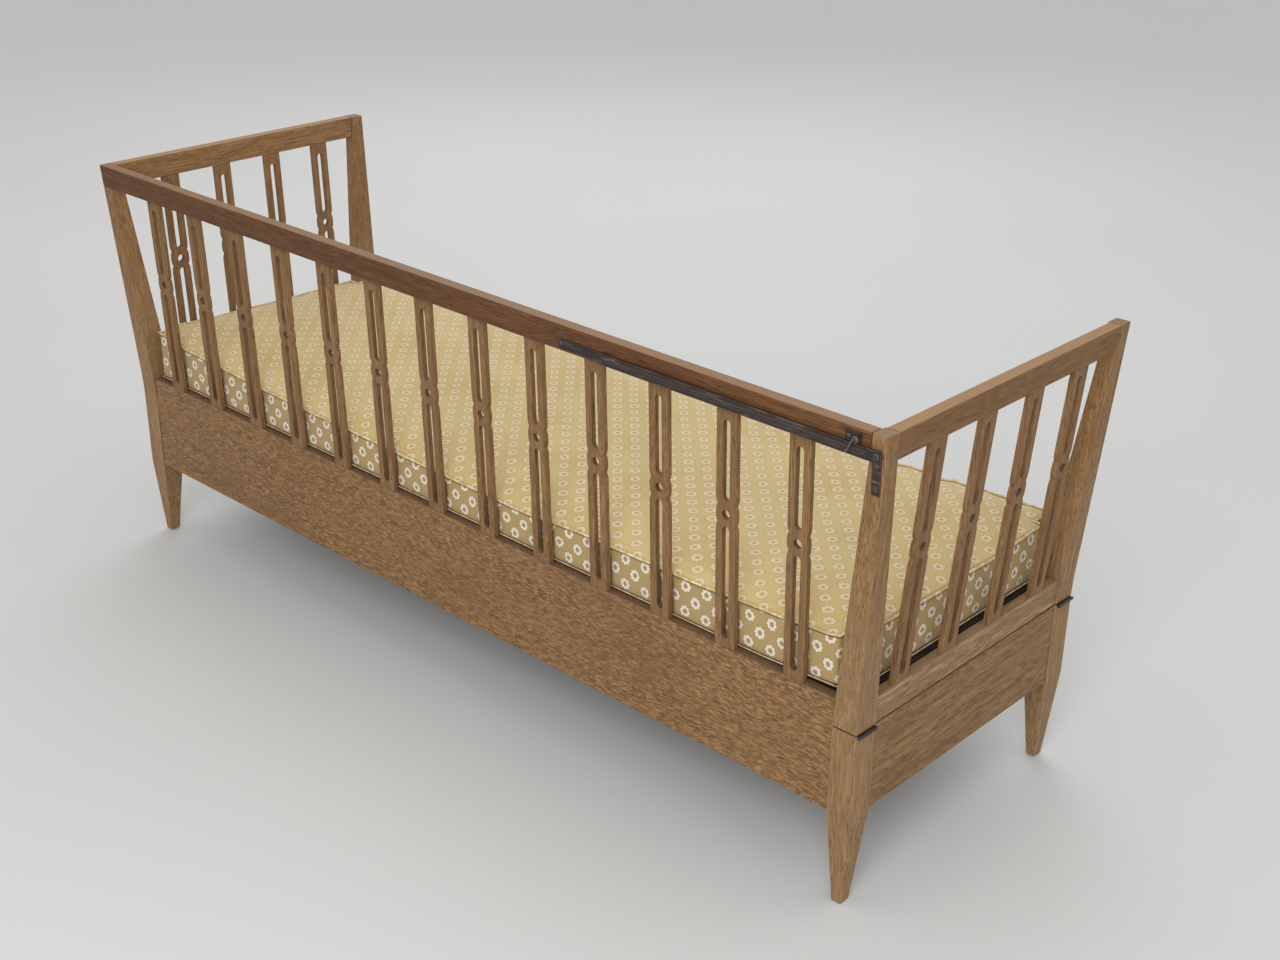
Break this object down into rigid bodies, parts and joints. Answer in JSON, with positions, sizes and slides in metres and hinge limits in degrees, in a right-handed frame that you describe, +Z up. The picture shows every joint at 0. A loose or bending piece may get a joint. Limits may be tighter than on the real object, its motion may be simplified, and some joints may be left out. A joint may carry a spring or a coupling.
{
  "type": "daybed",
  "caption": "Oak daybed with pierced splat galleries on a long side and both ends, a fold-down end held by a telescopic iron stay, and a piped box cushion.",
  "frame": {"origin": "on the floor, under the middle of the bounding box", "axes": "+X towards the folding end, +Y towards the open front, -Y towards the long back gallery, +Z up"},
  "size_m": [2.0018, 0.6799, 0.838],
  "materials": {
    "oak": "worn waxed oak",
    "oak_rail": "darker polished oak",
    "blackened_iron": "blackened, worn",
    "hinge_steel": "dull grey steel",
    "pine": "bare softwood",
    "damask": "woven damask, matt"
  },
  "bodies": {
    "base": {"post_left_back": "oak", "post_left_front": "oak", "leg_right_back": "oak", "leg_right_front": "oak", "apron_back": "oak", "apron_front": "oak", "apron_left": "oak", "apron_right": "oak", "splat_back_01": "oak", "splat_back_02": "oak", "splat_back_03": "oak", "splat_back_04": "oak", "splat_back_05": "oak", "splat_back_06": "oak", "splat_back_07": "oak", "splat_back_08": "oak", "splat_back_09": "oak", "splat_back_10": "oak", "splat_back_11": "oak", "splat_back_12": "oak", "splat_back_13": "oak", "splat_left_1": "oak", "splat_left_2": "oak", "splat_left_3": "oak", "splat_left_4": "oak", "rail_back_top": "oak_rail", "rail_left_top": "oak_rail", "hinge_back_lower_leaf": "hinge_steel", "hinge_back_pin": "hinge_steel", "hinge_front_lower_leaf": "hinge_steel", "hinge_front_pin": "hinge_steel", "stay_pivot_screw": "blackened_iron", "catch_plate": "blackened_iron", "ledger_back": "pine", "ledger_front": "pine", "base_board": "pine", "mattress": "damask"},
    "end_gallery": {"end_post_back": "oak", "end_post_front": "oak", "end_rail_bottom": "oak", "end_rail_top": "oak_rail", "end_splat_1": "oak", "end_splat_2": "oak", "end_splat_3": "oak", "end_splat_4": "oak", "hinge_back_upper_leaf": "hinge_steel", "hinge_front_upper_leaf": "hinge_steel", "stay_bracket": "blackened_iron"},
    "stay_strip": {"stay_strip": "blackened_iron"},
    "stay_bar": {"stay_bar": "blackened_iron", "stay_rivet": "blackened_iron"},
    "catch_hook": {"catch_hook": "blackened_iron"}
  },
  "joints": [
    {"name": "end_fold", "type": "hinge", "parent": "base", "child": "end_gallery", "pos_m": [0.9733, 0.0108, 0.325], "axis": [0, 1, 0], "range_deg": [0, 65]},
    {"name": "stay_swing", "type": "hinge", "parent": "base", "child": "stay_strip", "pos_m": [0.365, -0.3268, 0.8065], "axis": [0, 1, 0], "range_deg": [0, 15.5]},
    {"name": "stay_slide", "type": "slide", "parent": "stay_strip", "child": "stay_bar", "axis": [1, 0, 0], "range_m": [0, 0.47]},
    {"name": "hook_swing", "type": "hinge", "parent": "base", "child": "catch_hook", "pos_m": [0.9533, -0.3368, 0.8235], "axis": [0, 1, 0], "range_deg": [0, 100]}
  ],
  "couplings": [
    {"joint": "stay_swing", "follows": "end_fold", "ratio": 0.23777},
    {"joint": "stay_slide", "follows": "end_fold", "m_per_rad": 0.41243}
  ]
}
